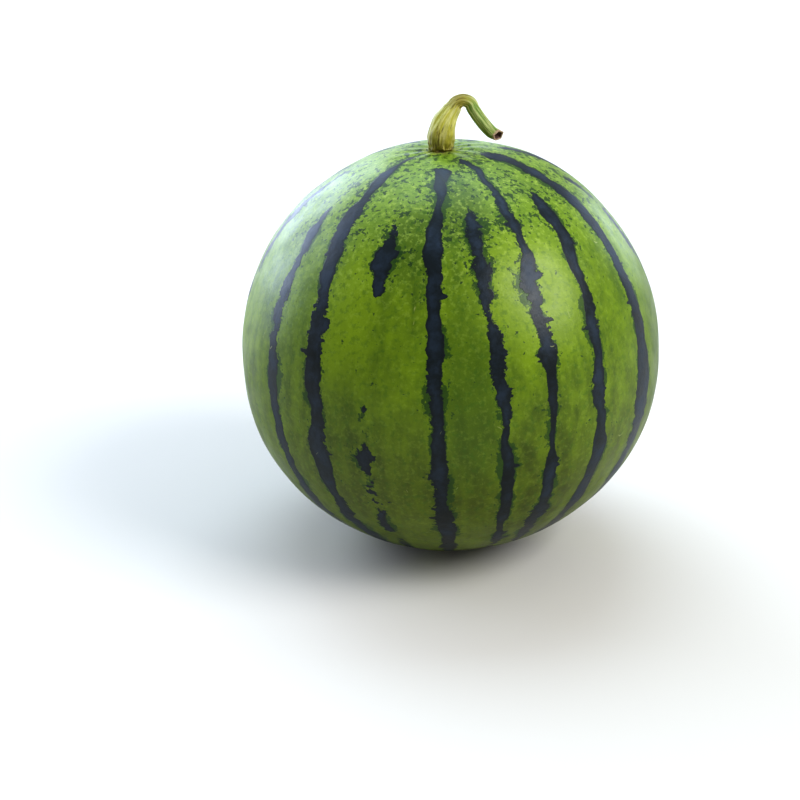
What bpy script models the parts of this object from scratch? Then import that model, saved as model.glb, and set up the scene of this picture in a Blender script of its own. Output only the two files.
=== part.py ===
"""A whole watermelon, picked with its stem and standing on its blossom end.

It is two pieces: the fruit, a nearly round closed body with a small flat spot underneath
and a shallow hollow at the crown, and the ridged stem, which stands in that hollow and is
bent over to one side. Metres, +Z up. The origin is the middle of the flat spot.
"""

import math

import bmesh
import bpy
from mathutils import Euler, Matrix, Vector

# Fruit. Heights are measured along its own axis, from its widest ring.
FRUIT_WIDTH = 0.200
CROWN_HEIGHT = 0.1020
BASE_DEPTH = 0.0935
# 2 makes a true ellipse, and more makes a fuller shoulder.
CROWN_FULLNESS = 2.04
BASE_FULLNESS = 2.05
REST_SPOT_WIDTH = 0.036
# The fruit leans a little, so its stem stands just off the middle.
AXIS_LEAN = math.radians(-3.0)

# Hollow at the crown.
HOLLOW_DEPTH = 0.0020
HOLLOW_RADIUS = 0.016

# Stem. Its width is between the middles of its ridges, where it is thickest.
STEM_WIDTH = 0.0128
# Stations from its foot to its cut end, chosen by hand. Each is (across, back, up) in
# metres, from the middle of its foot, and its thickness there as a share of STEM_WIDTH.
STEM_STATIONS = [
    (0.0000, 0.0000, 0.0000, 0.81),
    (0.0001, 0.0001, 0.0023, 0.92),
    (0.0006, 0.0003, 0.0070, 1.00),
    (0.0020, 0.0006, 0.0116, 0.88),
    (0.0041, 0.0010, 0.0157, 0.72),
    (0.0064, 0.0013, 0.0190, 0.59),
    (0.0081, 0.0015, 0.0215, 0.49),
    (0.0112, 0.0016, 0.0228, 0.45),
    (0.0144, 0.0015, 0.0214, 0.45),
    (0.0160, 0.0013, 0.0181, 0.47),
    (0.0192, 0.0009, 0.0131, 0.47),
    (0.0233, 0.0004, 0.0080, 0.45),
    (0.0269, 0.0001, 0.0055, 0.42),
]
STEM_RIDGES = 5
STEM_RIDGE_DEPTH = 0.08
STEM_TWIST = math.radians(70)
# Where it bends, its inner side is squashed to this share of the bend's radius.
STEM_FOLD = 0.85
# Gap all round, so that the stem's foot doesn't touch the fruit.
STEM_CLEARANCE = 0.0003
# The floor of the hollow is flat for this much beyond the foot of the stem.
SEAT_MARGIN = 0.0015
# The cut end is a shallow dish.
CUT_RIM_SHARE = 0.35
CUT_DISH_DEPTH = 0.0008

# How finely the round shapes are cut into faces.
FRUIT_SIDES = 56
CROWN_RINGS = 16
BASE_RINGS = 15
STEM_SIDES = 20
STEM_RINGS_PER_STATION = 3


def clear_scene():
    """Removes whatever the scene holds before the model is made."""
    for obj in list(bpy.data.objects):
        bpy.data.objects.remove(obj)


def skin_material(name, color, roughness):
    """A plain surface of one colour."""
    material = bpy.data.materials.new(name)
    material.use_nodes = True
    shader = material.node_tree.nodes["Principled BSDF"]
    shader.inputs["Base Color"].default_value = (*color, 1.0)
    shader.inputs["Roughness"].default_value = roughness
    shader.inputs["Metallic"].default_value = 0.0
    return material


def object_from(name, bm, material):
    """Closes the bmesh into a named, smooth-shaded object."""
    bmesh.ops.recalc_face_normals(bm, faces=bm.faces)
    mesh = bpy.data.meshes.new(name)
    bm.to_mesh(mesh)
    bm.free()
    mesh.shade_smooth()
    mesh.set_sharp_from_angle(angle=math.radians(50))
    mesh.materials.append(material)
    obj = bpy.data.objects.new(name, mesh)
    bpy.context.scene.collection.objects.link(obj)
    return obj


def height_at(radius, half_width, reach, fullness):
    """How far the body's skin is from its widest ring, at this distance from its axis."""
    share = min(radius / half_width, 1.0)
    return reach * (1 - share**fullness) ** (1 / fullness)


def foot_radius():
    """The widest that the stem's foot reaches, on the crests of its ridges."""
    return STEM_WIDTH / 2 * STEM_STATIONS[0][3] * (1 + STEM_RIDGE_DEPTH)


def seat_radius():
    """The flat floor of the hollow takes the stem's foot with a margin."""
    return foot_radius() + SEAT_MARGIN


def seat_height():
    """The floor of the hollow, above the fruit's widest ring."""
    crown = height_at(seat_radius(), FRUIT_WIDTH / 2, CROWN_HEIGHT, CROWN_FULLNESS)
    return crown - hollow_at(seat_radius())


def hollow_at(radius):
    """How far the skin dips below its round shape near the stem."""
    return HOLLOW_DEPTH * math.exp(-((radius / HOLLOW_RADIUS) ** 2))


def crown_profile():
    """(radius, height) from the widest ring up to the edge of the stem's seat."""
    half_width = FRUIT_WIDTH / 2
    stop = math.acos(seat_radius() / half_width)
    points = []
    for i in range(CROWN_RINGS + 1):
        radius = half_width * math.cos(stop * i / CROWN_RINGS)
        height = height_at(radius, half_width, CROWN_HEIGHT, CROWN_FULLNESS)
        points.append((radius, height - hollow_at(radius)))
    return points


def base_profile():
    """(radius, height) from the blossom end up to just below the widest ring."""
    half_width = FRUIT_WIDTH / 2
    points = []
    for i in range(BASE_RINGS):
        radius = half_width * math.sin(math.pi / 2 * i / BASE_RINGS)
        points.append((radius, -height_at(radius, half_width, BASE_DEPTH, BASE_FULLNESS)))
    return points


def turned_body(profile, sides):
    """A closed body from an open profile, which is turned about the Z axis."""
    bm = bmesh.new()
    corners = [bm.verts.new((radius, 0, height)) for radius, height in profile]
    edges = [bm.edges.new(pair) for pair in zip(corners, corners[1:])]
    bmesh.ops.spin(
        bm,
        geom=corners + edges,
        axis=(0, 0, 1),
        cent=(0, 0, 0),
        angle=2 * math.pi,
        steps=sides,
        use_merge=True,
    )
    bmesh.ops.remove_doubles(bm, verts=bm.verts, dist=1e-6)
    return bm


def rest_spot_depth():
    """How far below the widest ring a level cut is as wide as the flat spot."""
    return height_at(REST_SPOT_WIDTH / 2, FRUIT_WIDTH / 2, BASE_DEPTH, BASE_FULLNESS)


def make_fruit():
    """The closed body, cut level underneath. Returns it with the flat spot's middle."""
    seat = (0.0, seat_height())
    bm = turned_body([*base_profile(), *crown_profile(), seat], FRUIT_SIDES)
    down = Euler((0, AXIS_LEAN, 0)).to_matrix().inverted() @ Vector((0, 0, -1))
    cut = bmesh.ops.bisect_plane(
        bm,
        geom=bm.verts[:] + bm.edges[:] + bm.faces[:],
        dist=1e-7,
        plane_co=down * rest_spot_depth(),
        plane_no=down,
        clear_outer=True,
    )
    rim = [part for part in cut["geom_cut"] if isinstance(part, bmesh.types.BMEdge)]
    spot = bmesh.ops.edgeloop_fill(bm, edges=rim)["faces"][0]
    middle = spot.calc_center_bounds()
    skin = skin_material("rind", (0.16, 0.28, 0.04), 0.38)
    return object_from("fruit", bm, skin), middle


def between(before, start, end, after, share):
    """A point on the Catmull-Rom curve through four values, between the middle two."""
    linear = end - before
    square = 2 * before - 5 * start + 4 * end - after
    cube = 3 * (start - end) + after - before
    return start + 0.5 * share * (linear + share * (square + share * cube))


def stem_line():
    """Points and radii along the stem, read from a smooth curve through its stations."""
    stations = [Vector(station) for station in STEM_STATIONS]
    first = 2 * stations[0] - stations[1]
    last = 2 * stations[-1] - stations[-2]
    padded = [first, *stations, last]
    line = []
    for i in range(1, len(padded) - 2):
        for step in range(STEM_RINGS_PER_STATION):
            share = step / STEM_RINGS_PER_STATION
            line.append(between(*padded[i - 1 : i + 3], share))
    line.append(stations[-1])
    return [(point.xyz, point.w * STEM_WIDTH / 2) for point in line]


def bend_at(before, here, after):
    """The way to the middle of the bend at a point of the stem's line, and its radius."""
    turned = (after - here).normalized() - (here - before).normalized()
    step = (after - before).length / 2
    return turned.normalized(), step / max(turned.length, 1e-6)


def place_ring(ring, centre, turn, radius, phase, bend):
    """Moves a loop of corners into a ridged ring round the stem's line."""
    inward, bend_radius = bend
    for i, corner in enumerate(ring):
        angle = 2 * math.pi * i / len(ring)
        ridge = 1 + STEM_RIDGE_DEPTH * math.cos(STEM_RIDGES * (angle - phase))
        out = turn @ Vector((math.cos(angle), math.sin(angle), 0)) * radius * ridge
        beyond = out.dot(inward) - STEM_FOLD * bend_radius
        corner.co = centre + out - inward * max(beyond, 0)


def make_stem():
    """The ridged stem, with a flat foot and a dished cut end."""
    line = stem_line()
    last = len(line) - 1
    bm = bmesh.new()
    ring = bmesh.ops.create_circle(bm, segments=STEM_SIDES, radius=1)["verts"]
    foot = ring
    turn = Matrix.Identity(3)
    heading = Vector((0, 0, 1))
    for i, (centre, radius) in enumerate(line):
        bend = (heading, math.inf)
        if 0 < i < last:
            bend = bend_at(line[i - 1][0], centre, line[i + 1][0])
            onward = (line[i + 1][0] - line[i - 1][0]).normalized()
            turn = heading.rotation_difference(onward).to_matrix() @ turn
            heading = onward
        place_ring(ring, centre, turn, radius, STEM_TWIST * i / last, bend)
        if i < last:
            ring = next_ring(bm, ring)
    cap_foot_and_cut(bm, foot, ring, heading)
    wood = skin_material("stem_skin", (0.35, 0.36, 0.10), 0.6)
    return object_from("stem", bm, wood)


def next_ring(bm, ring):
    """Extrudes a loop of corners and returns the new loop in the same order."""
    count = len(ring)
    loop = [bm.edges.get((ring[i], ring[(i + 1) % count])) for i in range(count)]
    made = bmesh.ops.extrude_edge_only(bm, edges=loop)["geom"]
    fresh = {part for part in made if isinstance(part, bmesh.types.BMVert)}
    return [next(e.other_vert(v) for e in v.link_edges if e.other_vert(v) in fresh) for v in ring]


def cap_foot_and_cut(bm, foot, end, heading):
    """Closes the flat foot, and the cut end with a rim round a shallow dish."""
    bm.faces.new(foot)
    face = bm.faces.new(end)
    rim = STEM_WIDTH / 2 * STEM_STATIONS[-1][3] * CUT_RIM_SHARE
    bmesh.ops.inset_individual(bm, faces=[face], thickness=rim)
    bmesh.ops.translate(bm, verts=face.verts, vec=-heading * CUT_DISH_DEPTH)


def main():
    clear_scene()
    axis = bpy.data.objects.new("fruit_axis", None)
    bpy.context.scene.collection.objects.link(axis)
    fruit, spot_middle = make_fruit()
    stem = make_stem()
    stem.location = (0, 0, seat_height() + STEM_CLEARANCE)
    for piece in (fruit, stem):
        piece.parent = axis
    axis.rotation_euler = (0, AXIS_LEAN, 0)
    axis.location = -(axis.rotation_euler.to_matrix() @ spot_middle)


main()
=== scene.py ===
# %% [markdown]
# # A whole watermelon with its stem
# A ripe watermelon is a heavy, nearly round fruit. It hangs from the vine by one ridged stem,
# and everything on it is laid out round that stem: the stripes run from it to the blossom end
# like the lines of longitude on a globe. So the lesson has one idea that comes back in each
# step: work in the fruit's own longitude and latitude, and only then in colours and bumps.
#
# There are two pieces. The body is one turned shape, and the stem is one ring of corners that
# is drawn out along a bent line.

# %% Load the frame
import math

import bmesh
import bpy
from mathutils import Euler, Matrix, Vector, noise


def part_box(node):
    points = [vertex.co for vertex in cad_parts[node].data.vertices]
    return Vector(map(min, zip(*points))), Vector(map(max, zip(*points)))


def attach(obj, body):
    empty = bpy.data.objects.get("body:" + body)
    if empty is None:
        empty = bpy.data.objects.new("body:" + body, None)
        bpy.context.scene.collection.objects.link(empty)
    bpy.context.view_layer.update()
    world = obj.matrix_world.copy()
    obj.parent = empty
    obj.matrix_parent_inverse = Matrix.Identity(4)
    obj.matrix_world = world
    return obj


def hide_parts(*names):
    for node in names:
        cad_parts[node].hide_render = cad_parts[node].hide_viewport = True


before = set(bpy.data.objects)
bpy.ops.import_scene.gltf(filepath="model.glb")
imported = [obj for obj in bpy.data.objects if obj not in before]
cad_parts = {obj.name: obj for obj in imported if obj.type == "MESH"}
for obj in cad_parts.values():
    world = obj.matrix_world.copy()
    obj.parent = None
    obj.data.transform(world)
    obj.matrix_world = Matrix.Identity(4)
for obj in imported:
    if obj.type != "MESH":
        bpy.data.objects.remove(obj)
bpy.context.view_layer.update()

# %% [markdown]
# ## Where the fruit's axis is
# The body leans a little to the left, so that the stem stands just off the middle. Its own axis
# starts at the middle of its widest ring. Every shape below is made upright about that axis,
# and one matrix then leans it and lifts it onto the floor. Keeping the lean in one matrix is
# simpler than leaning each piece, and the pattern can undo it with one Mapping node.

# %% The fruit's proportions and its axis
# Heights are measured from the widest ring, in metres. A fullness of 2 makes a true ellipse.
HALF_WIDTH = (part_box("fruit")[1][1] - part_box("fruit")[0][1]) / 2
CROWN_HEIGHT = 0.1020
BASE_DEPTH = 0.0935
CROWN_FULLNESS = 2.04
BASE_FULLNESS = 2.05
REST_SPOT_WIDTH = 0.036
LEAN = math.radians(-3.0)


def height_at(radius, reach, fullness):
    """How far the skin is from the widest ring, at this distance from the axis."""
    share = min(radius / HALF_WIDTH, 1.0)
    return reach * (1 - share**fullness) ** (1 / fullness)


rest_depth = height_at(REST_SPOT_WIDTH / 2, BASE_DEPTH, BASE_FULLNESS)
axis_foot = Vector(((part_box("fruit")[0][0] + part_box("fruit")[1][0]) / 2, 0, rest_depth))
to_place = Matrix.Translation(axis_foot) @ Euler((0, LEAN, 0)).to_matrix().to_4x4()
print("half width", round(HALF_WIDTH, 4), "and the widest ring is", round(rest_depth, 4), "up")

# %% [markdown]
# ## The body
# A melon's body could be sculpted, or lofted through rings. Because it grows evenly round its
# stem, one half outline turned about the axis is enough: `bmesh.ops.spin` with a full turn.
# The outline isn't a plain ellipse. It is a little fuller at the shoulder, shorter below the
# middle than above, and it dips into a shallow hollow where the stem sits.

# %% The half outline
HOLLOW_DEPTH = 0.0009
HOLLOW_RADIUS = 0.016
RINGS_ABOVE = 110
RINGS_BELOW = 100
SIDES = 380


def hollow_at(radius):
    """How far the skin dips below its round shape near the stem."""
    return HOLLOW_DEPTH * math.exp(-((radius / HOLLOW_RADIUS) ** 2))


def half_outline():
    """(radius, height) from the blossom end to the middle of the stem's hollow."""
    points = []
    for i in range(RINGS_BELOW):
        radius = HALF_WIDTH * math.sin(math.pi / 2 * i / RINGS_BELOW)
        points.append((radius, -height_at(radius, BASE_DEPTH, BASE_FULLNESS)))
    for i in range(RINGS_ABOVE + 1):
        radius = HALF_WIDTH * math.cos(math.pi / 2 * i / RINGS_ABOVE)
        height = height_at(radius, CROWN_HEIGHT, CROWN_FULLNESS)
        points.append((radius, height - hollow_at(radius)))
    return points


# %% Turn it about the axis
def turned(outline, sides):
    """A closed body from an outline, turned once round the Z axis."""
    bm = bmesh.new()
    corners = [bm.verts.new((radius, 0, height)) for radius, height in outline]
    edges = [bm.edges.new(pair) for pair in zip(corners, corners[1:])]
    bmesh.ops.spin(bm, geom=corners + edges, axis=(0, 0, 1), cent=(0, 0, 0),
                   angle=2 * math.pi, steps=sides, use_merge=True)
    bmesh.ops.remove_doubles(bm, verts=bm.verts, dist=1e-6)
    bmesh.ops.recalc_face_normals(bm, faces=bm.faces)
    return bm


body = turned(half_outline(), SIDES)
print("the turned body has", len(body.faces), "faces")

# %% [markdown]
# ## What growing does to it
# A turned shape is too perfect. A real rind swells and sinks by less than a millimetre, which
# shows as slow waves in its reflections. Near the stem it is drawn into shallow puckers, and
# at the blossom end the flower has left a small sunken scar. Each of these is a small move of
# the corners along their normals, so the closed surface stays closed.

# %% Swellings, puckers and the blossom scar
SWELLING = 0.0007
BROAD_WAVES = 22
SMALL_WAVES = 61
SMALL_WAVE_SHARE = 0.35
PUCKER_COUNT = 11
PUCKER_DEPTH = 0.00020
PUCKER_WOBBLE = 0.5
WOBBLES = 40
PUCKERS_DEEPEST_AT = 0.009
PUCKER_SPREAD = 0.013
PUCKERS_ABOVE = 0.08
SCAR_RADIUS = 0.0052
SCAR_DEPTH = 0.0011
SCAR_LIP_SHARE = 0.25


def swelling_at(place):
    """Slow waves of the skin: broad ones, and smaller ones on top."""
    broad = noise.noise(place * BROAD_WAVES)
    small = noise.noise(place * SMALL_WAVES + Vector((7, 3, 1)))
    return SWELLING * (broad + SMALL_WAVE_SHARE * small)


def pucker_at(place):
    """Folds that run out of the stem's hollow and die away."""
    radius = math.hypot(place.x, place.y)
    wobble = PUCKER_WOBBLE * noise.noise(place * WOBBLES)
    angle = math.atan2(place.y, place.x) + wobble
    fade = math.exp(-((radius - PUCKERS_DEEPEST_AT) / PUCKER_SPREAD) ** 2)
    return PUCKER_DEPTH * fade * math.cos(PUCKER_COUNT * angle)


def scar_at(radius):
    """The sunken scar under the blossom end, with a slightly raised lip."""
    sunk = math.exp(-((radius / SCAR_RADIUS) ** 4))
    lip = math.exp(-(((radius - 1.5 * SCAR_RADIUS) / (0.5 * SCAR_RADIUS)) ** 2))
    return SCAR_LIP_SHARE * SCAR_DEPTH * lip - SCAR_DEPTH * sunk


for corner in body.verts:
    place = corner.co.copy()
    if place.z > PUCKERS_ABOVE:
        corner.co += corner.normal * pucker_at(place)
    corner.co += corner.normal * swelling_at(place)
print("the skin swells and sinks by about", SWELLING * 1000, "mm")

# %% [markdown]
# ## The flat spot it stands on
# The fruit stands on its blossom end, on a spot about as wide as an egg. Cutting that spot with
# a plane would leave a sharp rim that no fruit has. Here the skin is pressed instead: whatever
# would go below the floor is eased up to it over the last millimetre. All of it is then lowered
# until its lowest corner touches the floor, and the scar is sunk into the pressed skin.

# %% Lean the body and press it flat
PRESS_SOFTNESS = 0.0009
PRESS_REACH = 12 * PRESS_SOFTNESS
SETTLING = 0.004
NEAR_FLOOR = 0.01


def pressed(height):
    """A height above the floor, eased so that nothing goes below it."""
    if height > PRESS_REACH:
        return height
    return PRESS_SOFTNESS * math.log1p(math.exp(height / PRESS_SOFTNESS))


bmesh.ops.transform(body, matrix=to_place, verts=body.verts)
for corner in body.verts:
    corner.co.z = pressed(corner.co.z)
lowest = min(corner.co.z for corner in body.verts)
for corner in body.verts:
    corner.co.z -= lowest * math.exp(-corner.co.z / SETTLING)

scar_middle = to_place @ Vector((0, 0, -BASE_DEPTH))
for corner in body.verts:
    across = math.hypot(corner.co.x - scar_middle.x, corner.co.y - scar_middle.y)
    if corner.co.z < NEAR_FLOOR and across < 3 * SCAR_RADIUS:
        corner.co.z = max(corner.co.z - scar_at(across), 0)
print("the lowest corner is at", round(min(c.co.z for c in body.verts), 5))


# %% Make it an object
def object_from(name, bm):
    """A smooth-shaded object from a bmesh, at the origin."""
    mesh = bpy.data.meshes.new(name)
    bm.to_mesh(mesh)
    bm.free()
    mesh.shade_smooth()
    made = bpy.data.objects.new(name, mesh)
    bpy.context.scene.collection.objects.link(made)
    return made


melon = object_from("melon_body", body)
print(melon.name, "has", len(melon.data.polygons), "faces")

# %% [markdown]
# ## The line of the stem
# A cut stem dries, droops and folds over. It could be a bevelled curve, but a curve's section
# is the same all along, and this one changes: a swollen foot, a ribbed neck, a pinched fold and
# a thin end. So a ring of corners is extruded step by step along a line, and each ring gets its
# own size. The line is a smooth curve through a few stations. Each station is a place, measured
# from the stem's foot, and a thickness as a share of the widest. Two more stations below the
# foot flare it into a collar.

# %% Stations and a smooth curve through them
STEM_WIDTH = 0.0128
STEM_STATIONS = [
    # across, back, up, thickness
    (0.0000, 0.0000, 0.0000, 0.81),
    (0.0001, 0.0001, 0.0023, 0.92),
    (0.0006, 0.0003, 0.0070, 1.00),
    (0.0020, 0.0006, 0.0116, 0.88),
    (0.0041, 0.0010, 0.0157, 0.72),
    (0.0064, 0.0013, 0.0190, 0.59),
    (0.0081, 0.0015, 0.0215, 0.49),
    (0.0112, 0.0016, 0.0228, 0.45),
    (0.0144, 0.0015, 0.0214, 0.45),
    (0.0160, 0.0013, 0.0181, 0.47),
    (0.0192, 0.0009, 0.0131, 0.47),
    (0.0233, 0.0004, 0.0080, 0.45),
    (0.0269, 0.0001, 0.0055, 0.42),
]
COLLAR = [(0.0, 0.0, -0.0018, 1.16), (0.0, 0.0, -0.0008, 0.90)]
RINGS_PER_STATION = 14


def between(before, start, end, after, share):
    """A point on the Catmull-Rom curve through four values, between the middle two."""
    linear = end - before
    square = 2 * before - 5 * start + 4 * end - after
    cube = 3 * (start - end) + after - before
    return start + 0.5 * share * (linear + share * (square + share * cube))


def stem_line():
    """Points and radii along the stem."""
    stations = [Vector(station) for station in COLLAR + STEM_STATIONS]
    padded = [2 * stations[0] - stations[1], *stations, 2 * stations[-1] - stations[-2]]
    line = []
    for i in range(1, len(padded) - 2):
        for step in range(RINGS_PER_STATION):
            line.append(between(*padded[i - 1 : i + 3], step / RINGS_PER_STATION))
    line.append(stations[-1])
    return [(point.xyz, point.w * STEM_WIDTH / 2) for point in line]


line = stem_line()
length = sum((b[0] - a[0]).length for a, b in zip(line, line[1:]))
print("the stem is", round(length * 1000, 1), "mm long in", len(line), "rings")

# %% [markdown]
# ## The section of the stem
# A melon's stem has five ribs with softer cords between them. The ribs twist slowly, they are
# deepest in the neck, and they nearly vanish where the foot swells. The skin has dried, so it
# is wrinkled along its length. All of that is one function: how far out a corner stands, given
# its angle and how far along the stem it is.

# %% How far out the skin stands
RIBS = 5
CORD_SHARE = 0.35
TWIST = math.radians(70)
LEAST_RIB, NECK_RIB, END_RIB = 0.035, 0.04, 0.015
NECK_AT, NECK_SPREAD = 0.45, 0.20
FOOT_AT, FOOT_SPREAD = 0.17, 0.09
WRINKLE, FINE_WRINKLE, LUMP, FOOT_KNOB = 0.05, 0.018, 0.07, 0.20


def bulge(share, middle, spread):
    """1 at one place along the stem, and less and less away from it."""
    return math.exp(-(((share - middle) / spread) ** 2))


def rib_depth(share):
    """Ribs are shallow at the foot, deep in the neck and softer towards the end."""
    return LEAST_RIB + NECK_RIB * bulge(share, NECK_AT, NECK_SPREAD) + END_RIB * share


def section(angle, share):
    """The share of its radius that the stem's skin stands out at."""
    turned_by = angle - TWIST * share
    rib = math.cos(RIBS * turned_by) + CORD_SHARE * math.cos(2 * RIBS * turned_by + 0.6)
    around = Vector((math.cos(angle), math.sin(angle), 0))
    wrinkle = noise.noise(around * 3.6 + Vector((0, 0, share * 6)))
    fine = noise.noise(around * 9 + Vector((0, 0, share * 12 + 4)))
    lump = noise.noise(around * 1.4 + Vector((0, 0, share * 14 + 9)))
    knob = noise.noise(around * 2.6 + Vector((3, 0, share * 26)))
    at_foot = bulge(share, FOOT_AT, FOOT_SPREAD)
    return (1 + rib_depth(share) * rib + WRINKLE * wrinkle + FINE_WRINKLE * fine
            + LUMP * lump + FOOT_KNOB * at_foot * knob)


print("ribs stand out by", round(rib_depth(NECK_AT) * 100), "percent in the neck")

# %% [markdown]
# ## Drawing the stem out
# Each ring is extruded from the last with `extrude_edge_only`, and its corners are then moved
# into place. Where the stem folds over, its inner side would push through itself, so it is
# squashed: no corner may go further in than most of the way to the middle of the bend. Near
# the end the sections slant more and more, because a knife seldom cuts a stem square. Each
# corner also keeps its own place along and around the stem in an attribute, which the colour
# will follow later.

# %% Helpers for the rings
STEM_SIDES = 90
STEM_FOLD = 0.85
CUT_SLANT = 0.75
SLANT_FROM = 0.84


def bend_at(before, here, after):
    """The way to the middle of the bend at a point of the line, and its radius."""
    turned_by = (after - here).normalized() - (here - before).normalized()
    step = (after - before).length / 2
    return turned_by.normalized(), step / max(turned_by.length, 1e-6)


def next_ring(bm, ring):
    """Extrudes a loop of corners and returns the new loop in the same order."""
    count = len(ring)
    loop = [bm.edges.get((ring[i], ring[(i + 1) % count])) for i in range(count)]
    made = bmesh.ops.extrude_edge_only(bm, edges=loop)["geom"]
    fresh = {part for part in made if isinstance(part, bmesh.types.BMVert)}
    return [next(e.other_vert(v) for e in v.link_edges if e.other_vert(v) in fresh) for v in ring]


def slant_at(share):
    """How slanted the sections are: square to the stem, and slanted only near the cut."""
    return CUT_SLANT * max((share - SLANT_FROM) / (1 - SLANT_FROM), 0) ** 2


def place_ring(ring, centre, turn, radius, share, bend, stem_place):
    """Moves a loop of corners into one section of the stem, and notes where each one is."""
    inward, bend_radius = bend
    slanted = turn @ Vector((0, 0, 1)) * slant_at(share)
    for i, corner in enumerate(ring):
        angle = 2 * math.pi * i / len(ring)
        spoke = Vector((math.cos(angle), math.sin(angle), 0))
        out = turn @ spoke * radius * section(angle, share)
        beyond = out.dot(inward) - STEM_FOLD * bend_radius
        corner.co = centre + out - inward * max(beyond, 0) + slanted * out.y
        corner[stem_place] = (spoke.x, spoke.y, share)


# %% Draw it out ring by ring
stem_mesh = bmesh.new()
stem_place = stem_mesh.verts.layers.float_vector.new("stem_place")
ring = bmesh.ops.create_circle(stem_mesh, segments=STEM_SIDES, radius=1)["verts"]
foot = ring
turn = Matrix.Identity(3)
heading = Vector((0, 0, 1))
last = len(line) - 1
for i, (centre, radius) in enumerate(line):
    bend = (heading, math.inf)
    if 0 < i < last:
        bend = bend_at(line[i - 1][0], centre, line[i + 1][0])
        onward = (line[i + 1][0] - line[i - 1][0]).normalized()
        turn = heading.rotation_difference(onward).to_matrix() @ turn
        heading = onward
    place_ring(ring, centre, turn, radius, i / last, bend, stem_place)
    if i < last:
        ring = next_ring(stem_mesh, ring)
print("drawn out to", len(stem_mesh.faces), "faces")

# %% [markdown]
# ## The foot and the cut
# The foot is closed with one face, because it is hidden in the fruit. The cut end is what a
# knife leaves and the air dries: a firm rim round a shrunken, hollow pith. The end's face is
# inset four times. The first inset stands up a little as the rim, each further one goes deeper,
# and the last face is poked, so that its middle is a fan of small triangles. The attribute
# counts on past 1 there, one step for each inset, so that the pith can be coloured.

# %% Close the foot and hollow the cut
CUT_STEPS = [
    # how far in, and how deep, each in metres
    (0.00018, -0.00008),
    (0.00050, 0.00010),
    (0.00030, 0.00060),
    (0.00050, 0.00080),
]
STEP_SHARE = 0.02
stem_mesh.faces.new(foot)
cut = stem_mesh.faces.new(ring)
cut.normal_update()
into = -cut.normal if cut.normal.dot(heading) > 0 else cut.normal.copy()
for width, depth in CUT_STEPS:
    bmesh.ops.inset_individual(stem_mesh, faces=[cut], thickness=width)
    bmesh.ops.translate(stem_mesh, verts=cut.verts, vec=into * depth)
    for corner in cut.verts:
        corner[stem_place] = corner[stem_place] + Vector((0, 0, STEP_SHARE))
bmesh.ops.poke(stem_mesh, faces=[cut])
bmesh.ops.recalc_face_normals(stem_mesh, faces=stem_mesh.faces)
print("the pith is sunk by", round(sum(depth for width, depth in CUT_STEPS) * 1000, 2), "mm")

# %% [markdown]
# ## Seating the stem
# On the vine the stem's skin runs into the rind with no gap. So the stem starts with a flared
# collar, most of which is inside the fruit, and its foot proper goes a fifth of a millimetre
# into the floor of the hollow. No light shows under it.

# %% Stand it in the hollow
SEAT_SINK = 0.0002
SEAT_MARGIN = 0.0015
RIB_CREST = 1.08
foot_radius = STEM_WIDTH / 2 * STEM_STATIONS[0][3] * RIB_CREST
seat_radius = foot_radius + SEAT_MARGIN
seat_height = height_at(seat_radius, CROWN_HEIGHT, CROWN_FULLNESS) - hollow_at(seat_radius)
onto_seat = Matrix.Translation((0, 0, seat_height - SEAT_SINK))
bmesh.ops.transform(stem_mesh, matrix=to_place @ onto_seat, verts=stem_mesh.verts)
stem = object_from("melon_stem", stem_mesh)
print("the stem's foot is", round(seat_height * 1000, 1), "mm above the widest ring")

# %% [markdown]
# ## Writing node trees
# A material is a network of nodes, and a long network is easier to read as a formula. These
# helpers let the lesson write it that way: each adds a node, plugs numbers or other nodes'
# outputs into it, and gives back its output.


# %% Helpers for nodes
def plug(tree, value, socket):
    """Links an output to a socket, or sets the socket to a plain value."""
    if isinstance(value, bpy.types.NodeSocket):
        tree.links.new(value, socket)
    else:
        socket.default_value = value


def calc(tree, operation, *values):
    """One Math node."""
    node = tree.nodes.new("ShaderNodeMath")
    node.operation = operation
    for socket, value in zip(node.inputs, values):
        plug(tree, value, socket)
    return node.outputs[0]


def ramp(tree, value, low, high, to_low=0.0, to_high=1.0):
    """One Map Range node, eased and clamped at both ends."""
    node = tree.nodes.new("ShaderNodeMapRange")
    node.interpolation_type = "SMOOTHSTEP"
    for socket, given in zip(node.inputs, (value, low, high, to_low, to_high)):
        plug(tree, given, socket)
    return node.outputs[0]


def blend(tree, share, first, second):
    """One Mix node for colours."""
    node = tree.nodes.new("ShaderNodeMix")
    node.data_type = "RGBA"
    plug(tree, share, node.inputs["Factor"])
    plug(tree, first, node.inputs["A"])
    plug(tree, second, node.inputs["B"])
    return node.outputs["Result"]


def speckle(tree, place, scale, detail=2.0, rough=0.5, stretch=(1, 1, 1), shift=(0, 0, 0)):
    """A Noise node, from 0 to 1, read at a stretched and shifted place."""
    mapping = tree.nodes.new("ShaderNodeMapping")
    plug(tree, place, mapping.inputs["Vector"])
    mapping.inputs["Scale"].default_value = stretch
    mapping.inputs["Location"].default_value = shift
    node = tree.nodes.new("ShaderNodeTexNoise")
    plug(tree, mapping.outputs["Vector"], node.inputs["Vector"])
    plug(tree, scale, node.inputs["Scale"])
    plug(tree, detail, node.inputs["Detail"])
    plug(tree, rough, node.inputs["Roughness"])
    return node.outputs["Fac"]


def wave(tree, place, scale, **settings):
    """The same noise about zero, from -0.5 to 0.5."""
    return calc(tree, "SUBTRACT", speckle(tree, place, scale, **settings), 0.5)


print("helpers ready")


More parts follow.
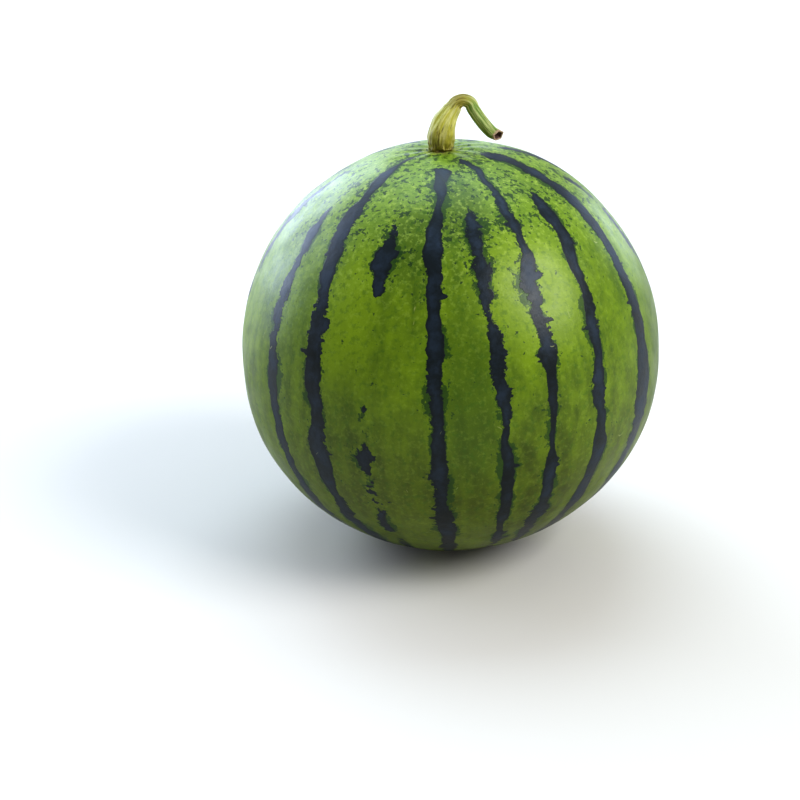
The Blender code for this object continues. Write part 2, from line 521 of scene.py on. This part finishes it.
# %% Helpers for node groups
def new_group(name, inputs, outputs):
    """An empty node group with named sockets, and its two ends."""
    group = bpy.data.node_groups.new(name, "ShaderNodeTree")
    for socket, kind in inputs.items():
        group.interface.new_socket(socket, in_out="INPUT", socket_type=kind)
    for socket, kind in outputs.items():
        group.interface.new_socket(socket, in_out="OUTPUT", socket_type=kind)
    start = group.nodes.new("NodeGroupInput")
    end = group.nodes.new("NodeGroupOutput")
    return group, start.outputs, end.inputs


def use(tree, group, **values):
    """Places a group in a tree, with its inputs set."""
    node = tree.nodes.new("ShaderNodeGroup")
    node.node_tree = group
    for name, value in values.items():
        plug(tree, value, node.inputs[name])
    return node.outputs


FLOAT, VECTOR = "NodeSocketFloat", "NodeSocketVector"
print("group helpers ready")

# %% [markdown]
# ## Longitude and latitude
# The pattern needs to know where it is on the globe. A Mapping node of the Texture type undoes
# the lean, so that Z runs along the fruit's own axis. Longitude is then the angle about it, and
# latitude the angle above the widest ring. Two more outputs make patterns easier. Degree is how
# many millimetres one degree of longitude spans there, so that widths can be given in
# millimetres from stem to blossom end. Flow is a place that changes along the fruit as fast at
# the poles as at the middle, for noise that is stretched along the stripes or across them.

# %% A group for the place on the globe
MM_IN_DEGREE = 1000 * math.pi / 180
globe, ins, outs = new_group(
    "place on the fruit",
    {"Object_Place": VECTOR},
    {"Longitude": FLOAT, "Latitude": FLOAT, "Degree": FLOAT, "Flow": VECTOR, "Upright": VECTOR},
)
upright = globe.nodes.new("ShaderNodeMapping")
upright.vector_type = "TEXTURE"
plug(globe, ins["Object_Place"], upright.inputs["Vector"])
upright.inputs["Location"].default_value = axis_foot
upright.inputs["Rotation"].default_value = (0, LEAN, 0)
apart = globe.nodes.new("ShaderNodeSeparateXYZ")
plug(globe, upright.outputs["Vector"], apart.inputs[0])
x, y, z = apart.outputs
longitude = calc(globe, "ARCTAN2", x, calc(globe, "MULTIPLY", y, -1.0))
square = calc(globe, "MULTIPLY_ADD", x, x, calc(globe, "MULTIPLY", y, y))
from_axis = calc(globe, "SQRT", square)
latitude = calc(globe, "ARCTAN2", z, from_axis)
circle = globe.nodes.new("ShaderNodeCombineXYZ")
plug(globe, calc(globe, "SINE", longitude), circle.inputs[0])
plug(globe, calc(globe, "COSINE", longitude), circle.inputs[1])
plug(globe, latitude, circle.inputs[2])
plug(globe, calc(globe, "DEGREES", longitude), outs["Longitude"])
plug(globe, calc(globe, "DEGREES", latitude), outs["Latitude"])
plug(globe, calc(globe, "MULTIPLY", from_axis, MM_IN_DEGREE), outs["Degree"])
plug(globe, circle.outputs[0], outs["Flow"])
plug(globe, upright.outputs["Vector"], outs["Upright"])
print("one degree spans", round(HALF_WIDTH * MM_IN_DEGREE, 2), "mm at the widest ring")

# %% [markdown]
# ## One stripe
# Each stripe is described by where it runs and how wide it is, not by a picture. The group
# works out how many millimetres a point lies inside the stripe's edge: positive inside, negative
# outside. Stripes are chained, and each passes on the larger number, so together they make one
# field. The ragged edge comes later, from noise that is added to the whole field at once, which
# is cheaper than fraying each stripe and lets close neighbours run together.

# %% A group for one stripe
PLACE_INPUTS = ("Field", "Longitude", "Latitude", "Degree", "Wander", "Gaps")
ROW_INPUTS = ("Middle", "Lean", "Curl", "Width",
              "Top", "Top_Fade", "Bottom", "Bottom_Fade", "Broken")
# A stripe's ends wander by this many degrees for each millimetre that its middle does.
END_WANDER = 1.6
# Past its ends a stripe draws in by this many millimetres.
DRAWN_IN = 4.0


def degrees_from(tree, longitude, middle):
    """Degrees round the fruit from a middle longitude, from -180 to 180."""
    return calc(tree, "WRAP", calc(tree, "SUBTRACT", longitude, middle), 180.0, -180.0)


def inside_stripe(tree, given):
    """How many millimetres a point lies inside the stripe's edge."""
    north = calc(tree, "DIVIDE", given["Latitude"], 90.0)
    upper = calc(tree, "MAXIMUM", north, 0.0)
    curl = calc(tree, "MULTIPLY", given["Curl"], calc(tree, "MULTIPLY", upper, upper))
    leant = calc(tree, "MULTIPLY_ADD", given["Lean"], north, curl)
    middle = calc(tree, "ADD", given["Middle"], leant)
    off = degrees_from(tree, given["Longitude"], middle)
    off = calc(tree, "MULTIPLY_ADD", off, given["Degree"], given["Wander"])
    aside = calc(tree, "ABSOLUTE", off)

    along = calc(tree, "MULTIPLY_ADD", given["Wander"], END_WANDER, given["Latitude"])
    to_top = calc(tree, "SUBTRACT", given["Top"], along)
    to_bottom = calc(tree, "SUBTRACT", along, given["Bottom"])
    under_top = ramp(tree, to_top, 0.0, given["Top_Fade"])
    over_bottom = ramp(tree, to_bottom, 0.0, given["Bottom_Fade"])
    ends = calc(tree, "MULTIPLY", under_top, over_bottom)

    # Half the width in the open, and less where the stripes crowd together near the poles.
    girth = ramp(tree, given["Degree"], 0.2, 1.4, 0.28, 0.5)
    half = calc(tree, "MULTIPLY", calc(tree, "MULTIPLY", given["Width"], girth), ends)
    spent = calc(tree, "MULTIPLY_ADD", calc(tree, "SUBTRACT", 1.0, ends), DRAWN_IN, aside)
    gap = calc(tree, "MULTIPLY", given["Broken"], given["Gaps"])
    return calc(tree, "SUBTRACT", calc(tree, "SUBTRACT", half, spent), gap)


one_stripe, ins, outs = new_group(
    "one stripe", dict.fromkeys(PLACE_INPUTS + ROW_INPUTS, FLOAT), {"Field": FLOAT})
inside = inside_stripe(one_stripe, ins)
plug(one_stripe, calc(one_stripe, "MAXIMUM", ins["Field"], inside), outs["Field"])
print("one stripe takes", len(one_stripe.nodes), "nodes")

# %% [markdown]
# ## Where the stripes run
# A small melon has about twenty stripes. Each row gives a stripe's longitude at the widest ring
# in degrees (0 faces the front, and it grows to the right), how far it leans and curls towards
# the crown, its width in millimetres, the latitudes of its top and its bottom with the number of
# degrees that each end takes to fade, and how broken it is. No two are alike. Short rows fill
# the wider gaps, and a short wide one laid over a long one widens it near the crown.

# %% The stripes
STRIPES = [
    # middle, lean, curl, width, top, top fade, bottom, bottom fade, broken
    (-88.0, 0.0, -4.0, 7.0, 80.0, 20.0, -78.0, 14.0, 1.5),
    (-54.5, -11.0, 0.0, 7.6, 74.0, 26.0, -80.0, 14.0, 1.0),
    (-38.5, -4.0, -13.0, 9.4, 89.0, 20.0, -79.0, 12.0, 0.3),
    (-38.5, -4.0, -13.0, 8.0, 86.0, 5.0, 60.0, 10.0, 0.6),
    (-21.5, -2.0, 0.0, 10.0, 66.0, 22.0, 27.0, 14.0, 2.4),
    (-24.0, 0.0, 0.0, 6.0, 14.0, 12.0, -70.0, 12.0, 4.0),
    (-4.6, 0.0, 0.0, 7.4, 80.0, 4.0, -81.0, 8.0, 0.3),
    (1.0, 0.0, 0.0, 17.0, 80.5, 6.0, 58.0, 20.0, 0.3),
    (-3.0, 0.0, 0.0, 9.0, 77.0, 8.0, 50.0, 14.0, 0.0),
    (12.6, -2.0, 0.0, 6.4, 66.0, 12.0, -78.0, 12.0, 0.5),
    (11.5, 0.0, 0.0, 9.0, 75.0, 6.0, 66.0, 6.0, 2.5),
    (25.5, 1.0, 10.0, 6.6, 88.0, 8.0, -80.0, 8.0, 0.3),
    (40.8, 2.0, 20.0, 7.8, 66.0, 10.0, -79.0, 10.0, 0.5),
    (61.8, 13.0, 2.0, 10.8, 80.0, 10.0, -80.0, 12.0, 0.5),
    (74.0, 0.0, 0.0, 18.0, 84.0, 6.0, 60.0, 14.0, 1.0),
    (89.0, 0.0, 0.0, 7.4, 66.0, 14.0, -78.0, 14.0, 2.0),
    (107.0, 4.0, -6.0, 8.6, 80.0, 12.0, -80.0, 12.0, 1.0),
    (124.0, -3.0, 5.0, 6.8, 68.0, 14.0, -74.0, 14.0, 4.0),
    (141.0, 6.0, 0.0, 9.4, 84.0, 10.0, -80.0, 10.0, 0.5),
    (160.0, -5.0, 8.0, 7.6, 76.0, 12.0, -79.0, 12.0, 1.5),
    (178.0, 3.0, -4.0, 8.8, 86.0, 10.0, -80.0, 10.0, 1.0),
    (197.0, 0.0, 6.0, 7.0, 64.0, 14.0, -76.0, 14.0, 3.5),
    (214.0, -6.0, 0.0, 9.0, 84.0, 10.0, -80.0, 10.0, 0.5),
    (233.0, 4.0, -5.0, 8.2, 80.0, 12.0, -79.0, 12.0, 1.5),
    (252.0, 2.0, 4.0, 7.2, 76.0, 14.0, -77.0, 14.0, 2.0),
]
widths = [row[3] for row in STRIPES]
print(len(STRIPES), "stripes, from", min(widths), "to", max(widths), "mm wide")

# %% [markdown]
# ## The rind's material
# The rind is a waxy skin over two layers of green. The pale ground is mottled at several
# scales, and peppered with dark flecks near the crown and beside the stripes. The stripes have
# a nearly black core with a bluish bloom of wax on it, and a dark green fringe. The network
# below is split by what it makes: the field of stripes, the ragged edge, the flecks, the
# ground, and last the colours and the surface.

# %% Start the material and read the place
rind = bpy.data.materials.new("striped rind")
rind.use_nodes = True
tree = rind.node_tree
shader = tree.nodes["Principled BSDF"]
coordinates = tree.nodes.new("ShaderNodeTexCoord")
on_fruit = use(tree, globe, Object_Place=coordinates.outputs["Object"])
skin = on_fruit["Upright"]
flow = on_fruit["Flow"]
print("the rind's patterns read", len(on_fruit), "kinds of place")

# %% [markdown]
# A stripe's middle wanders slowly, with quicker shivers on top. Broken stripes lose millimetres
# of width wherever the gap noise is high. Both are made once and given to every stripe.

# %% The field of stripes
SLOW_WANDER = 7.0
QUICK_WANDER = 3.5
FAR_OUTSIDE = -50.0
quick = wave(tree, skin, 90.0, detail=1.0, shift=(1, 5, 2))
quick = calc(tree, "MULTIPLY", quick, QUICK_WANDER)
slow = wave(tree, skin, 28.0, detail=1.0, shift=(3, 1, 8))
gap_noise = speckle(tree, skin, 110.0, detail=3.0, rough=0.6, shift=(6, 2, 4))
here = {name: on_fruit[name] for name in ("Longitude", "Latitude", "Degree")}
here["Wander"] = calc(tree, "MULTIPLY_ADD", slow, SLOW_WANDER, quick)
here["Gaps"] = ramp(tree, gap_noise, 0.40, 0.60)
field = FAR_OUTSIDE
for row in STRIPES:
    field = use(tree, one_stripe, Field=field, **here, **dict(zip(ROW_INPUTS, row)))["Field"]
print("the material has", len(tree.nodes), "nodes so far")

# %% [markdown]
# A stripe's edge is torn in three ways. Slow swells change its width, sideways teeth stand out
# of it, and small crumbs roughen everything. The teeth come from noise that is stretched
# along the flow: it changes quickly from crown to base, and slowly round the fruit. Each is
# given in millimetres, and all of them shrink near the poles, where there is less room.

# %% The ragged edge
SWELL, SCALLOP, TOOTH, CRUMB = 9.0, 5.0, 3.0, 3.6
fray = speckle(tree, skin, 38.0, detail=1.0, shift=(4, 9, 2))
fray = ramp(tree, fray, 0.38, 0.66, 0.25, 1.3)
swell = wave(tree, skin, 48.0, detail=2.0, shift=(2, 7, 1))
scallops = wave(tree, flow, 1.0, detail=3.0, rough=0.6, stretch=(11, 11, 24))
teeth = speckle(tree, flow, 1.0, detail=2.0, stretch=(7, 7, 20), shift=(5, 2, 1))
teeth = ramp(tree, teeth, 0.58, 0.74)
crumbs = wave(tree, skin, 620.0, detail=3.0, rough=0.7, shift=(4, 4, 9))
tear = calc(tree, "MULTIPLY_ADD", scallops, SCALLOP, calc(tree, "MULTIPLY", crumbs, CRUMB))
tear = calc(tree, "MULTIPLY_ADD", teeth, TOOTH, tear)
room = ramp(tree, on_fruit["Degree"], 0.2, 1.1, 0.45, 1.0)
torn = calc(tree, "MULTIPLY_ADD", swell, calc(tree, "MULTIPLY", room, SWELL), field)
torn = calc(tree, "MULTIPLY_ADD", tear, calc(tree, "MULTIPLY", room, fray), torn)
core = ramp(tree, torn, -0.15, 0.45)
print("the core's edge is torn")

# %% The green fringe round the core
LOBE, FRINGE_CRUMB = 20.0, 5.0
lobes = wave(tree, skin, 60.0, detail=4.0, rough=0.62, shift=(9, 1, 5))
frayed = calc(tree, "MULTIPLY_ADD", crumbs, FRINGE_CRUMB, torn)
frayed = calc(tree, "MULTIPLY_ADD", lobes, LOBE, frayed)
fringe = calc(tree, "MAXIMUM", ramp(tree, frayed, -0.3, 0.6), core)
print("the fringe stands out in lobes")

# %% [markdown]
# The flecks are crumbs of the dark layer. They are commonest near the crown and close to a
# stripe, so the level that the noise must reach to make one drops there.

# %% Flecks
FLECK_LEVEL = 0.70
DROP_AT_STRIPE = -0.055
DROP_AT_CROWN = -0.135
PATCHINESS = 0.30
near_stripe = ramp(tree, field, -8.0, 0.5)
near_crown = ramp(tree, on_fruit["Latitude"], 22.0, 66.0)
level = calc(tree, "MULTIPLY_ADD", near_stripe, DROP_AT_STRIPE, FLECK_LEVEL)
level = calc(tree, "MULTIPLY_ADD", near_crown, DROP_AT_CROWN, level)
crumb = speckle(tree, skin, 430.0, detail=3.0, rough=0.6, shift=(1, 2, 3))
patches = wave(tree, skin, 75.0, detail=2.0, shift=(5, 5, 5))
crumb = calc(tree, "MULTIPLY_ADD", patches, PATCHINESS, crumb)
flecks = ramp(tree, calc(tree, "SUBTRACT", crumb, level), 0.0, 0.04)
print("flecks ready")

# %% [markdown]
# The ground is never one green. Broad fields of it are paler or deeper. The pale one at the
# front right is a painted highlight, and the deep ones on the front are painted shade. Clouds
# carry it from deep to light, blotches of a centimetre break the clouds up, and a fine
# yellow-green grain lies over both. Near the crown it is paler, which is painted light from
# above. Low down it is darker and more olive, which is painted shade. At the very ends it
# turns to straw. A few short pale nicks are where the rind was scuffed.

# %% Broad fields
# The pale field at the front right is a painted highlight.
PALE_FIELDS_AND_PAINTED_HIGHLIGHT = [
    # longitude, latitude, half width, half height
    (26.0, 33.0, 22.0, 25.0),
    (-32.0, 30.0, 14.0, 26.0),
    (118.0, 10.0, 26.0, 34.0),
    (205.0, 28.0, 30.0, 30.0),
]
# The deep fields on the front are painted shade.
DARK_FIELDS_AND_PAINTED_SHADE = [
    (-13.0, 50.0, 14.0, 15.0),
    (4.0, 10.0, 12.0, 34.0),
    (10.0, 60.0, 14.0, 16.0),
    (82.0, 5.0, 22.0, 30.0),
    (165.0, -5.0, 24.0, 34.0),
    (250.0, 15.0, 20.0, 30.0),
]


def soft_field(longitude, latitude, half_width, half_height):
    """A soft oval: 1 in its middle, 0 at its edge."""
    across = degrees_from(tree, on_fruit["Longitude"], longitude)
    across = calc(tree, "DIVIDE", across, half_width)
    up = calc(tree, "SUBTRACT", on_fruit["Latitude"], latitude)
    up = calc(tree, "DIVIDE", up, half_height)
    away = calc(tree, "MULTIPLY_ADD", across, across, calc(tree, "MULTIPLY", up, up))
    return ramp(tree, away, 0.0, 1.0, 1.0, 0.0)


def all_fields(rows):
    """Several soft ovals in one mask."""
    mask = 0.0
    for row in rows:
        mask = calc(tree, "MAXIMUM", mask, soft_field(*row))
    return mask


pale_and_painted_highlight = all_fields(PALE_FIELDS_AND_PAINTED_HIGHLIGHT)
dark_and_painted_shade = all_fields(DARK_FIELDS_AND_PAINTED_SHADE)
print(len(PALE_FIELDS_AND_PAINTED_HIGHLIGHT), "pale fields and", len(DARK_FIELDS_AND_PAINTED_SHADE), "dark ones")

# %% Clouds, streaks, blotches and grain
clouds = speckle(tree, skin, 19.0, detail=2.0, shift=(8, 3, 2))
clouds = ramp(tree, clouds, 0.25, 0.68)
streaks = speckle(tree, flow, 1.0, detail=3.0, rough=0.6, stretch=(13, 13, 3.5), shift=(2, 2, 6))
streaks = ramp(tree, streaks, 0.35, 0.68)
blotches = speckle(tree, skin, 120.0, detail=4.0, rough=0.6, shift=(2, 8, 6))
blotches = ramp(tree, blotches, 0.34, 0.68)
grain = speckle(tree, skin, 480.0, detail=3.0, rough=0.65, shift=(7, 7, 1))
grain = ramp(tree, grain, 0.48, 0.70)
mottle = speckle(tree, skin, 360.0, detail=3.0, rough=0.6, shift=(5, 1, 7))
mottle = ramp(tree, mottle, 0.50, 0.68)
# Darker and more olive lower down: painted shade.
painted_shade_below = ramp(tree, on_fruit["Latitude"], -24.0, 28.0, 0.70, 0.0)
# Paler towards the crown: painted light from above.
painted_top_light = ramp(tree, on_fruit["Latitude"], 30.0, 78.0)
tips = ramp(tree, calc(tree, "ABSOLUTE", on_fruit["Latitude"]), 83.5, 88.0)
print("masks of the ground ready")

# %% [markdown]
# The colours are laid over each other like glazes. One small function lays a colour over what
# is there already, where a mask says so and up to a strength. The lists then read like a
# painter's notes, from the first glaze to the last.

# %% The ground
DEEP = (0.046, 0.092, 0.001, 1)
MID = (0.116, 0.194, 0.001, 1)
LIGHT = (0.225, 0.325, 0.004, 1)
# the paler green of the painted light from above
PAINTED_TOP_LIGHT_GREEN = (0.235, 0.370, 0.050, 1)
PALE = (0.480, 0.600, 0.120, 1)
STRAW = (0.430, 0.420, 0.120, 1)
MOTTLE = (0.048, 0.120, 0.004, 1)
SHADED = (0.056, 0.064, 0.001, 1)


def glazed(tree, colour, glazes):
    """Lays each glaze over the colour, where its mask is and up to its strength."""
    for over, mask, strength in glazes:
        share = calc(tree, "MULTIPLY", mask, strength)
        colour = blend(tree, share, colour, over)
    return colour


# Streaks and blotches lighten less lower down, where the shade is painted.
lightening_dimmed_by_painted_shade = calc(tree, "MULTIPLY_ADD", painted_shade_below, -0.30, 0.40)
mottling = calc(tree, "MULTIPLY_ADD", near_crown, 0.30, 0.38)
graining = calc(tree, "MULTIPLY_ADD", near_crown, 0.34, 0.10)
ground = glazed(tree, blend(tree, clouds, DEEP, MID), [
    # painted shade lower down
    (SHADED, painted_shade_below, 1.0),
    (LIGHT, streaks, lightening_dimmed_by_painted_shade),
    (LIGHT, blotches, lightening_dimmed_by_painted_shade),
    # painted light from above
    (PAINTED_TOP_LIGHT_GREEN, painted_top_light, 0.50),
    # pale fields, with a painted highlight at the front right
    (LIGHT, pale_and_painted_highlight, 0.70),
    # deep fields, with painted shade on the front
    (DEEP, dark_and_painted_shade, 0.55),
    (MOTTLE, mottle, mottling),
    (PALE, grain, graining),
    (STRAW, tips, 0.7),
])
print("ground ready")


# %% Nicks and the scar
def band(tree, value, middle, inner, outer):
    """1 within the inner distance of a middle value, and 0 beyond the outer one."""
    away = calc(tree, "ABSOLUTE", calc(tree, "SUBTRACT", value, middle))
    return ramp(tree, away, inner, outer, 1.0, 0.0)


contour = band(tree, speckle(tree, skin, 55.0, detail=1.0, shift=(9, 4, 4)), 0.5, 0.0, 0.007)
scuffed = speckle(tree, skin, 120.0, detail=1.0, shift=(6, 6, 1))
scuffed = ramp(tree, scuffed, 0.69, 0.73)
nicks = calc(tree, "MULTIPLY", contour, scuffed)
underside = ramp(tree, on_fruit["Latitude"], -80.0, -70.0, 1.0, 0.0)
scar = ramp(tree, on_fruit["Degree"], 0.06, 0.10, 1.0, 0.0)
scar = calc(tree, "MULTIPLY", scar, underside)
print("nicks and scar ready")

# %% Colours together
FRINGE = (0.018, 0.060, 0.003, 1)
CORE = (0.0030, 0.0080, 0.0085, 1)
BLOOM = (0.032, 0.055, 0.094, 1)
FLECK = (0.014, 0.046, 0.008, 1)
NICK = (0.420, 0.430, 0.170, 1)
SCAR = (0.160, 0.095, 0.045, 1)
CROWN_BLOOM, WAX_BLOOM = 0.18, 0.50
wax = speckle(tree, skin, 75.0, detail=5.0, rough=0.66, shift=(1, 9, 9))
wax = ramp(tree, wax, 0.35, 0.70)
inner = ramp(tree, torn, 0.2, 2.4, 0.15, 1.0)
bloom = calc(tree, "MULTIPLY_ADD", near_crown, CROWN_BLOOM, calc(tree, "MULTIPLY", wax, WAX_BLOOM))
dark = glazed(tree, CORE, [(BLOOM, bloom, inner)])
colour = glazed(tree, ground, [
    (FLECK, flecks, 0.85),
    (FRINGE, fringe, 0.85),
    (dark, core, 1.0),
    (NICK, nicks, 0.55),
    (SCAR, scar, 1.0),
])
plug(tree, colour, shader.inputs["Base Color"])
print("the rind is coloured")

# %% [markdown]
# The rind shines softly through its wax. Roughness varies with the wax, and the bump has two
# sizes: pores finer than a millimetre, and the faint unevenness of the skin over its flesh.
# The stripes stand out by a hair, because their skin is a little firmer.

# %% The surface
SHINE = 0.42
roughness = calc(tree, "MULTIPLY_ADD", wax, 0.10, 0.36)
roughness = calc(tree, "MULTIPLY_ADD", grain, 0.05, roughness)
roughness = calc(tree, "MULTIPLY_ADD", scar, 0.3, roughness)
plug(tree, roughness, shader.inputs["Roughness"])
pores = speckle(tree, skin, 900.0, detail=3.0, rough=0.6)
ripple = speckle(tree, skin, 190.0, detail=2.0, shift=(3, 3, 3))
relief = calc(tree, "MULTIPLY_ADD", pores, 0.35, calc(tree, "MULTIPLY", ripple, 0.8))
relief = calc(tree, "MULTIPLY_ADD", core, 0.25, relief)


def add_bump(tree, shader, height, strength, distance):
    """Bumps a shader's surface by a height, whose full range is a distance in metres."""
    bump = tree.nodes.new("ShaderNodeBump")
    bump.inputs["Strength"].default_value = strength
    bump.inputs["Distance"].default_value = distance
    plug(tree, height, bump.inputs["Height"])
    plug(tree, bump.outputs["Normal"], shader.inputs["Normal"])


add_bump(tree, shader, relief, strength=0.6, distance=0.00022)
shader.inputs["Specular IOR Level"].default_value = SHINE
melon.data.materials.append(rind)
print(rind.name, "has", len(tree.nodes), "nodes")

# %% [markdown]
# ## The stem's material
# The stem is living green at its thin end and corky where it has begun to dry. Its skin has
# long pale fibres, brown bruises at the foot, a band of painted shade in the pinch above its
# collar, and a dark rough cut. The fibres have to follow the stem round its fold, so they are
# read from the place that each corner kept: the first two numbers go round the stem with no
# seam, and the third goes along it.

# %% Read the place along the stem
bark = bpy.data.materials.new("dried stem")
bark.use_nodes = True
tree = bark.node_tree
shader = tree.nodes["Principled BSDF"]
kept = tree.nodes.new("ShaderNodeAttribute")
kept.attribute_name = "stem_place"
on_stem = kept.outputs["Vector"]
apart = tree.nodes.new("ShaderNodeSeparateXYZ")
plug(tree, on_stem, apart.inputs[0])
length_share = apart.outputs[2]
coordinates = tree.nodes.new("ShaderNodeTexCoord")
print("the stem's patterns read", kept.attribute_name)

# %% Fibres, bruises and the cut
# Places along the stem are shares of its length, from its collar to its cut end.
FOLD_AT, PINCH_AT = 0.62, 0.165
FOOT_STAIN, FOLD_STAIN = 0.14, 0.08
fibres = speckle(tree, on_stem, 1.0, detail=3.0, rough=0.55, stretch=(3.2, 3.2, 6))
fibres = ramp(tree, fibres, 0.38, 0.66)
threads = speckle(tree, on_stem, 1.0, detail=4.0, rough=0.6, stretch=(9, 9, 11), shift=(3, 1, 0))
threads = ramp(tree, threads, 0.35, 0.70)
thin_end = ramp(tree, length_share, 0.60, 0.76)
near_foot = ramp(tree, length_share, 0.23, 0.41, 1.0, 0.0)
near_fold = band(tree, length_share, FOLD_AT, 0.0, 0.14)
stains = speckle(tree, on_stem, 1.0, detail=4.0, rough=0.62, stretch=(3.6, 3.6, 9), shift=(2, 2, 7))
stains = calc(tree, "MULTIPLY_ADD", near_fold, FOLD_STAIN, stains)
stains = calc(tree, "MULTIPLY_ADD", near_foot, FOOT_STAIN, stains)
stains = ramp(tree, stains, 0.56, 0.74)
# The pinch above the collar is darkened: painted shade in its crease.
painted_shade_in_pinch = band(tree, length_share, PINCH_AT, 0.008, 0.045)
collar = ramp(tree, length_share, 0.120, 0.148, 1.0, 0.0)
cut_rim = ramp(tree, length_share, 0.968, 0.997)
pith = ramp(tree, length_share, 1.035, 1.055)
print("masks of the stem ready")

# %% The stem's colours
OLIVE = (0.510, 0.480, 0.070, 1)
FRESH = (0.160, 0.275, 0.045, 1)
FIBRE = (0.740, 0.710, 0.360, 1)
THREAD = (0.230, 0.220, 0.014, 1)
FOOT = (0.215, 0.175, 0.012, 1)
FOLD = (0.300, 0.235, 0.035, 1)
# the brown of the stains, also laid on as painted shade in the pinch
STAIN_AND_PAINTED_SHADE = (0.085, 0.062, 0.002, 1)
COLLAR_GREEN = (0.300, 0.370, 0.060, 1)
CUT_RIM = (0.460, 0.330, 0.220, 1)
PITH = (0.085, 0.036, 0.026, 1)
colour = glazed(tree, blend(tree, thin_end, OLIVE, FRESH), [
    (FIBRE, fibres, 0.66),
    (THREAD, threads, 0.35),
    (FOLD, near_fold, 0.65),
    (FOOT, near_foot, 0.50),
    (STAIN_AND_PAINTED_SHADE, stains, 0.82),
    # painted shade in the pinch's crease
    (STAIN_AND_PAINTED_SHADE, painted_shade_in_pinch, 0.70),
    (COLLAR_GREEN, collar, 0.85),
    (CUT_RIM, cut_rim, 1.0),
    (PITH, pith, 1.0),
])
plug(tree, colour, shader.inputs["Base Color"])
print("the stem is coloured")

# %% The stem's surface
plug(tree, ramp(tree, fibres, 0.0, 1.0, 0.62, 0.48), shader.inputs["Roughness"])
cork = speckle(tree, coordinates.outputs["Object"], 1500.0, detail=3.0)
relief = calc(tree, "MULTIPLY_ADD", fibres, 0.8, calc(tree, "MULTIPLY", threads, 0.6))
relief = calc(tree, "MULTIPLY_ADD", cork, 0.4, relief)
add_bump(tree, shader, relief, strength=0.7, distance=0.00025)
stem.data.materials.append(bark)
print(bark.name, "has", len(tree.nodes), "nodes")

# %% [markdown]
# ## Riding on the frame
# Both pieces belong to the one body, which rests. Each stands for its solid in the frame,
# which is hidden.

# %% Tie the pieces to the frame
for piece, node, slot in ((melon, "fruit", "rind"), (stem, "stem", "stem")):
    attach(piece, "root")
    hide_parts(node)
print("both pieces ride on the one body")

# %% [markdown]
# ## The stage
# A pale floor and a pale room, so the rind's edges pick up the room's light. Large soft lights
# stand behind, above, and in front on the right. A wax skin shows its lights as broad hazes, so
# their size and place matter more than their strength: a light behind gives a haze along the
# rim, and one above gives a haze at the crown. The lights are cool, and the floor is a little
# warm, which keeps its shadows from turning blue. The contrast look deepens the darks a little.

# %% Floor
FLOOR_COLOUR = (0.69, 0.655, 0.600, 1)
floor_mesh = bmesh.new()
bmesh.ops.create_grid(floor_mesh, x_segments=1, y_segments=1, size=6.0)
floor = object_from("floor", floor_mesh)
paper = bpy.data.materials.new("pale floor")
paper.use_nodes = True
paper_shader = paper.node_tree.nodes["Principled BSDF"]
paper_shader.inputs["Base Color"].default_value = FLOOR_COLOUR
paper_shader.inputs["Roughness"].default_value = 0.7
floor.data.materials.append(paper)
print("the floor is down")

# %% Lights
AIM = Vector((0, 0, 0.1))
COOL = (0.68, 0.79, 1.0)
SKY = (0.66, 0.83, 1.0)
DAYLIGHT = (0.94, 0.96, 1.0)
LIGHTS = [
    # name, place, width, height, brightness, tint
    ("back left", (-1.65, 1.55, 0.78), 2.6, 1.6, 4.3, COOL),
    ("back", (-0.40, 2.4, 0.58), 1.6, 0.9, 1.4, COOL),
    ("right", (1.6, 2.2, 0.36), 1.2, 0.7, 3.2, COOL),
    ("top", (-0.1, 0.85, 1.7), 1.4, 1.0, 2.9, SKY),
    ("front right", (1.55, -0.75, 1.5), 1.2, 1.2, 7.2, DAYLIGHT),
]


def soft_light(name, place, width, height, brightness, tint):
    """A large rectangular light that faces the fruit. Its power follows from its brightness."""
    data = bpy.data.lights.new(name, "AREA")
    data.shape = "RECTANGLE"
    data.size = width
    data.size_y = height
    data.energy = brightness * math.pi * width * height
    data.color = tint
    light = bpy.data.objects.new(name, data)
    light.location = place
    light.rotation_euler = (AIM - Vector(place)).to_track_quat("-Z", "Y").to_euler()
    light.visible_camera = False
    bpy.context.scene.collection.objects.link(light)


for row in LIGHTS:
    soft_light(*row)
print(len(LIGHTS), "lights")

# %% The room and the look
ROOM_COLOUR = (0.94, 0.97, 1.0, 1)
ROOM_BRIGHTNESS = 0.40
world = bpy.data.worlds.new("pale room")
world.use_nodes = True
room_light = world.node_tree.nodes["Background"]
room_light.inputs["Color"].default_value = ROOM_COLOUR
room_light.inputs["Strength"].default_value = ROOM_BRIGHTNESS
bpy.context.scene.world = world
bpy.context.scene.view_settings.view_transform = "Standard"
bpy.context.scene.view_settings.look = "High Contrast"
print("the room is lit")

# %% [markdown]
# ## The camera
# It looks down at the fruit from a metre away, as someone standing at a table does. It aims a
# little below and to the left of the fruit, which puts the fruit in the upper right.

# %% Camera
DISTANCE = 1.0
LOOK_DOWN = math.radians(23.5)
LEFT_OF_FRUIT = 0.0242
BELOW_FRUIT = 0.0235
SENSOR_WIDTH = 36
LENS = 93.2
toward = Vector((0, math.cos(LOOK_DOWN), -math.sin(LOOK_DOWN)))
upward = Vector((0, math.sin(LOOK_DOWN), math.cos(LOOK_DOWN)))
sideways = Vector((1, 0, 0))
camera = bpy.data.objects.new("camera", bpy.data.cameras.new("camera"))
camera.location = (axis_foot - toward * DISTANCE
                   - upward * BELOW_FRUIT - sideways * LEFT_OF_FRUIT)
camera.rotation_euler = (math.pi / 2 - LOOK_DOWN, 0, 0)
camera.data.sensor_width = SENSOR_WIDTH
camera.data.lens = LENS
bpy.context.scene.collection.objects.link(camera)
bpy.context.scene.camera = camera
print("the camera is at", [round(value, 3) for value in camera.location])
